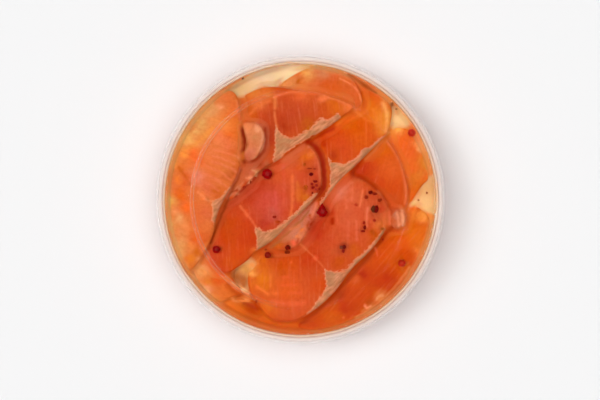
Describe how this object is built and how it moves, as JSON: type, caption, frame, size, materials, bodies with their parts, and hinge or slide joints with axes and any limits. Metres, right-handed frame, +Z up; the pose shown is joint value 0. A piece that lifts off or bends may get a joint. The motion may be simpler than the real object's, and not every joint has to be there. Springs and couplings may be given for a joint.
{
  "type": "trout fillet slices in oil",
  "caption": "Round clear plastic tub with a push-on lid, full of overlapping trout fillet slices in oil with pink peppercorns.",
  "frame": {"origin": "centre of the tub's foot, on the surface that it stands on", "axes": "+Z up along the tub's axis, through the lid; +Y to the picture's upper edge, +X to its right"},
  "size_m": [0.104, 0.104, 0.0337],
  "materials": {
    "clear_plastic": "clear, glossy",
    "trout_flesh": "moist, soft sheen",
    "deep_flesh": "moist, soft sheen",
    "pale_flesh": "moist, soft sheen",
    "peppercorn": "dull, wrinkled"
  },
  "bodies": {
    "root": {"tub": "clear_plastic", "lid": "clear_plastic", "slice_left": "trout_flesh", "slice_top": "trout_flesh", "slice_middle": "trout_flesh", "slice_right": "trout_flesh", "slice_lower": "trout_flesh", "slice_rim_top": "deep_flesh", "slice_inner_right": "deep_flesh", "slice_rim_right": "deep_flesh", "slice_rim_left": "deep_flesh", "slice_tuck": "deep_flesh", "slice_rim_lower": "deep_flesh", "slice_rim_bottom": "deep_flesh", "fish_heap": "deep_flesh", "curl_large": "pale_flesh", "curl_small": "pale_flesh", "peppercorn_1": "peppercorn", "peppercorn_2": "peppercorn", "peppercorn_3": "peppercorn", "peppercorn_4": "peppercorn", "peppercorn_5": "peppercorn", "peppercorn_6": "peppercorn"}
  },
  "joints": []
}
